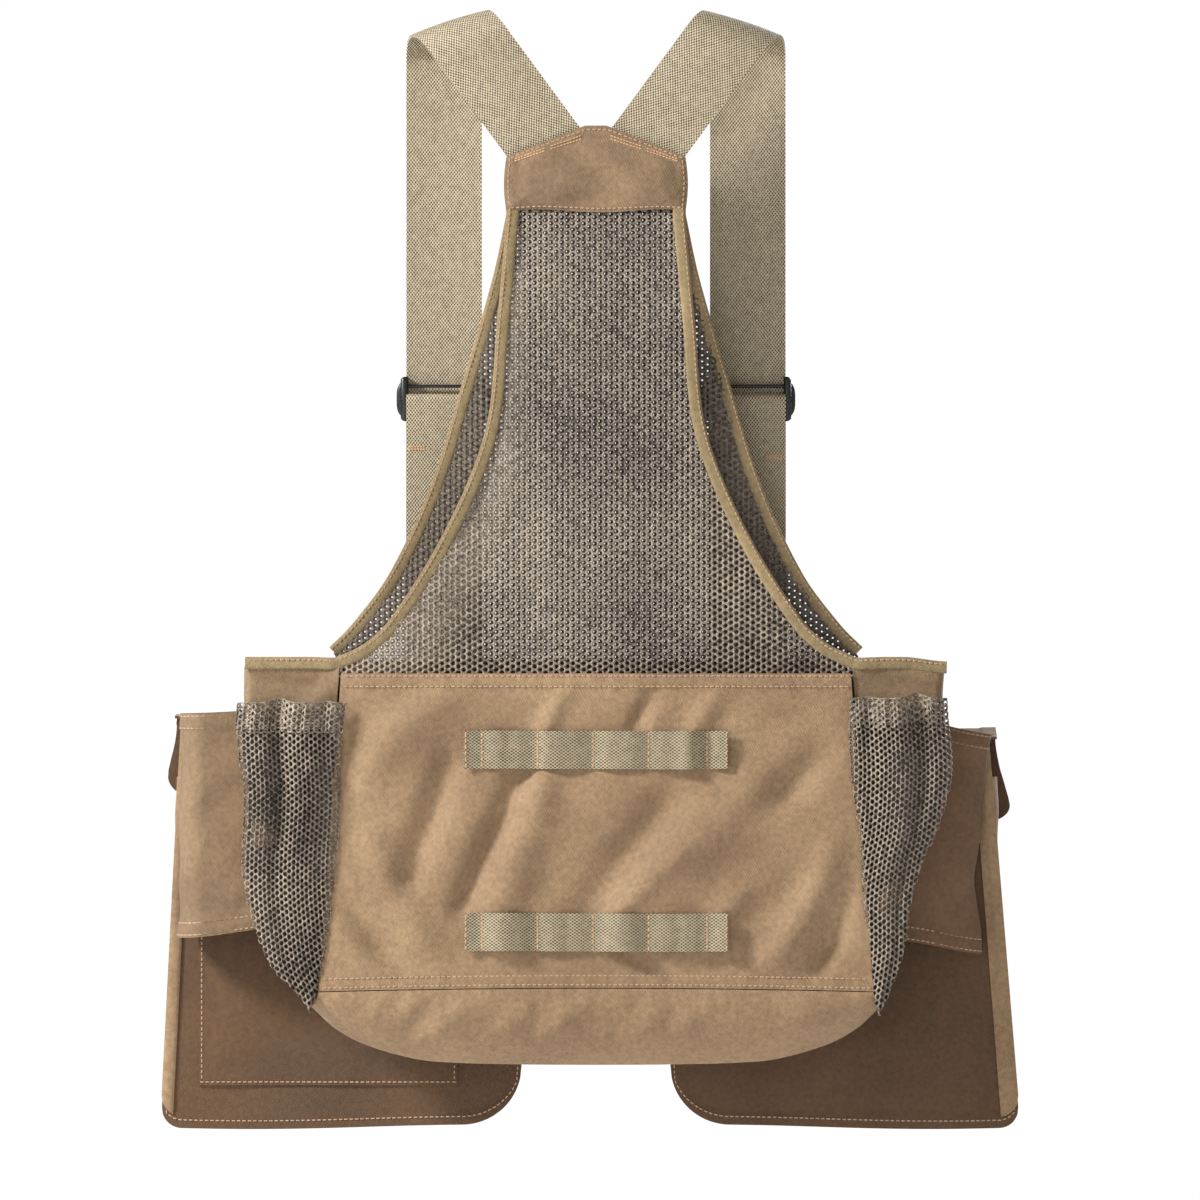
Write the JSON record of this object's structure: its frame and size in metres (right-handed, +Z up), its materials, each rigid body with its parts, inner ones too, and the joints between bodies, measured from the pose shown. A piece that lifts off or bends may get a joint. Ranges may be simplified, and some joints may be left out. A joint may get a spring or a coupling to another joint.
{
  "type": "fishing vest",
  "caption": "Strap fishing vest with a mesh back, a back bag, mesh side pockets, loop webbing rows, flapped front pockets and a buckled waist belt.",
  "frame": {"origin": "midway between the two shoulder folds, on the line where a hanger's bar carries them", "axes": "+Z up, +Y towards the wearer's front so the bag faces -Y, +X to the right as the back is looked at"},
  "size_m": [0.5713, 0.1205, 0.7492],
  "materials": {
    "cotton": "waxed cotton twill, dry hand",
    "binding": "folded cotton binding, stitched",
    "mesh": "open knitted polyester mesh",
    "elastic": "gathered elastic under mesh",
    "strap_webbing": "woven nylon webbing",
    "loop_webbing": "coarse woven nylon webbing",
    "plastic": "moulded acetal, satin",
    "snap_metal": "antiqued"
  },
  "bodies": {
    "vest": {"yoke_outer": "cotton", "yoke_lining": "cotton", "bag_back_panel": "cotton", "bag_inner_panel": "cotton", "bag_bottom_panel": "cotton", "bag_gusset_left": "cotton", "bag_gusset_right": "cotton", "side_panel_left": "cotton", "side_panel_right": "cotton", "front_panel_left": "cotton", "front_panel_right": "cotton", "front_pocket_gusset_left": "cotton", "front_pocket_gusset_right": "cotton", "front_pocket_face_left": "cotton", "front_pocket_face_right": "cotton", "inner_patch_pocket": "cotton", "outer_binding_left": "binding", "outer_binding_right": "binding", "inner_binding_left": "binding", "inner_binding_right": "binding", "wing_binding_left": "binding", "wing_binding_right": "binding", "outer_mesh_panel": "mesh", "inner_mesh_panel": "mesh", "mesh_pocket_left": "mesh", "mesh_pocket_right": "mesh", "pocket_elastic_left": "elastic", "pocket_elastic_right": "elastic", "shoulder_strap_left": "strap_webbing", "shoulder_strap_right": "strap_webbing", "waist_belt_left": "strap_webbing", "waist_belt_right": "strap_webbing", "loop_webbing_upper": "loop_webbing", "loop_webbing_lower": "loop_webbing", "buckle_socket": "plastic", "snap_stud_left": "snap_metal", "snap_stud_right": "snap_metal"},
    "flap_left": {"pocket_flap_left": "cotton", "snap_cap_left": "snap_metal", "snap_socket_left": "snap_metal"},
    "flap_right": {"pocket_flap_right": "cotton", "snap_cap_right": "snap_metal", "snap_socket_right": "snap_metal"},
    "adjuster_left": {"strap_adjuster_left": "plastic", "adjuster_webbing_left": "strap_webbing"},
    "adjuster_right": {"strap_adjuster_right": "plastic", "adjuster_webbing_right": "strap_webbing"},
    "buckle_plug": {"buckle_plug": "plastic"}
  },
  "joints": [
    {"name": "flap_hinge_left", "type": "hinge", "parent": "vest", "child": "flap_left", "pos_m": [-0.18, 0.0159, -0.461], "axis": [1, 0, 0], "range_deg": [0, 85]},
    {"name": "flap_hinge_right", "type": "hinge", "parent": "vest", "child": "flap_right", "pos_m": [0.18, 0.0159, -0.461], "axis": [1, 0, 0], "range_deg": [0, 85]},
    {"name": "adjuster_slide_left", "type": "slide", "parent": "vest", "child": "adjuster_left", "axis": [0, 0, 1], "range_m": [-0.05, 0.05]},
    {"name": "adjuster_slide_right", "type": "slide", "parent": "vest", "child": "adjuster_right", "axis": [0, 0, 1], "range_m": [-0.05, 0.05]},
    {"name": "buckle_release", "type": "slide", "parent": "vest", "child": "buckle_plug", "axis": [1, 0, 0], "range_m": [0, 0.028]}
  ]
}
